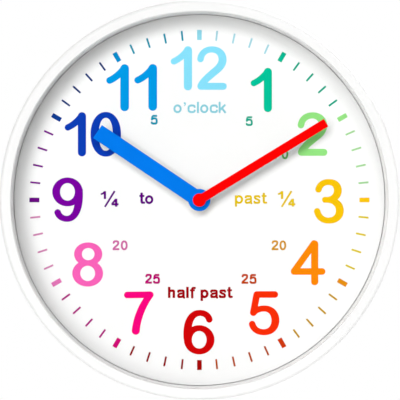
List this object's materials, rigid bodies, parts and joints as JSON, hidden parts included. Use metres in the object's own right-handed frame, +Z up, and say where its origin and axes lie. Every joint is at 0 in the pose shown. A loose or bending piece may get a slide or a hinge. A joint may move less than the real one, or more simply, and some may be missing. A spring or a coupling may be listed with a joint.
{
  "type": "teaching wall clock",
  "caption": "Round white wall clock with a clear lens, a rainbow teaching dial and blue and red hands driven by a battery quartz gear train.",
  "frame": {"origin": "centre of the clock on the wall plane, where the rear rim of the case rests", "axes": "+Y into the wall and -Y the way the dial looks, +Z up towards 12, +X right towards 3"},
  "size_m": [0.225, 0.038, 0.225],
  "materials": {
    "white_case": "smooth white moulding, soft gloss",
    "white_back": "fine textured white moulding",
    "clear_lens": "clear polished sheet",
    "dial_white": "matt white printed sheet",
    "blue_paint": "satin paint on thin aluminium",
    "red_paint": "satin paint on thin aluminium",
    "brass": "turned, lightly dulled",
    "black_rubber": "matt",
    "black_plastic": "fine textured black moulding",
    "natural_plastic": "natural moulding",
    "gear_plastic": "slick natural moulding",
    "board_green": "solder resist",
    "copper_wire": "enamelled fine wire",
    "soft_iron": "stamped plate",
    "magnet": "sintered",
    "zinc_screw": "zinc plated",
    "spring_steel": "nickel plated strip and wire",
    "cell_jacket": "plain printed jacket on a steel can"
  },
  "bodies": {
    "case": {"front_case": "white_case", "lens": "clear_lens", "spacer_ring": "white_case", "dial": "dial_white", "rear_case": "white_back", "case_screws": "zinc_screw", "centre_nut": "brass", "nut_washer": "brass", "movement_gasket": "black_rubber", "movement_case": "black_plastic", "movement_cover": "black_plastic", "middle_plate": "natural_plastic", "circuit_board": "board_green", "quartz_crystal": "zinc_screw", "timing_chip": "black_plastic", "coil_bobbin": "natural_plastic", "coil_winding": "copper_wire", "coil_core": "soft_iron", "stator": "soft_iron", "positive_contact": "spring_steel", "negative_contact": "spring_steel", "negative_spring": "spring_steel"},
    "minute_hand": {"minute_hand": "red_paint", "minute_arbor": "gear_plastic"},
    "hour_hand": {"hour_hand": "blue_paint", "hour_wheel": "gear_plastic"},
    "minute_wheel": {"minute_wheel": "gear_plastic"},
    "setting_knob": {"setting_knob": "black_plastic"},
    "centre_wheel": {"centre_wheel": "gear_plastic"},
    "third_wheel": {"third_wheel": "gear_plastic"},
    "fourth_wheel": {"fourth_wheel": "gear_plastic"},
    "intermediate_wheel": {"intermediate_wheel": "gear_plastic"},
    "rotor": {"rotor_magnet": "magnet", "rotor_pinion": "gear_plastic"},
    "battery": {"battery": "cell_jacket"}
  },
  "joints": [
    {"name": "minute_turn", "type": "hinge", "parent": "case", "child": "minute_hand", "pos_m": [0, -0.0302, 0], "axis": [0, 1, 0], "continuous": true},
    {"name": "hour_turn", "type": "hinge", "parent": "case", "child": "hour_hand", "pos_m": [0, -0.0266, 0], "axis": [0, 1, 0], "continuous": true},
    {"name": "minute_wheel_turn", "type": "hinge", "parent": "case", "child": "minute_wheel", "pos_m": [0.00689, -0.013, 0.00579], "axis": [0, 1, 0], "continuous": true},
    {"name": "knob_turn", "type": "hinge", "parent": "case", "child": "setting_knob", "pos_m": [0.01649, -0.002, 0.00579], "axis": [0, 1, 0], "continuous": true},
    {"name": "fourth_turn", "type": "hinge", "parent": "case", "child": "fourth_wheel", "pos_m": [0, -0.0065, 0], "axis": [0, 1, 0], "continuous": true},
    {"name": "centre_turn", "type": "hinge", "parent": "case", "child": "centre_wheel", "pos_m": [0, -0.0113, 0], "axis": [0, 1, 0], "continuous": true},
    {"name": "third_turn", "type": "hinge", "parent": "case", "child": "third_wheel", "pos_m": [-0.00935, -0.0097, 0.0054], "axis": [0, 1, 0], "continuous": true},
    {"name": "intermediate_turn", "type": "hinge", "parent": "case", "child": "intermediate_wheel", "pos_m": [0.00677, -0.0047, 0.00246], "axis": [0, 1, 0], "continuous": true},
    {"name": "rotor_turn", "type": "hinge", "parent": "case", "child": "rotor", "pos_m": [0.00677, -0.0063, 0.00946], "axis": [0, 1, 0], "continuous": true},
    {"name": "battery_out", "type": "slide", "parent": "case", "child": "battery", "axis": [0, 1, 0], "range_m": [0, 0.025]}
  ],
  "couplings": [
    {"joint": "minute_wheel_turn", "follows": "minute_turn", "ratio": -0.25},
    {"joint": "hour_turn", "follows": "minute_turn", "ratio": 0.083333},
    {"joint": "knob_turn", "follows": "minute_turn", "ratio": 0.75},
    {"joint": "third_turn", "follows": "fourth_turn", "ratio": -0.13333},
    {"joint": "centre_turn", "follows": "fourth_turn", "ratio": 0.016667},
    {"joint": "intermediate_turn", "follows": "fourth_turn", "ratio": -5},
    {"joint": "rotor_turn", "follows": "fourth_turn", "ratio": 30}
  ]
}
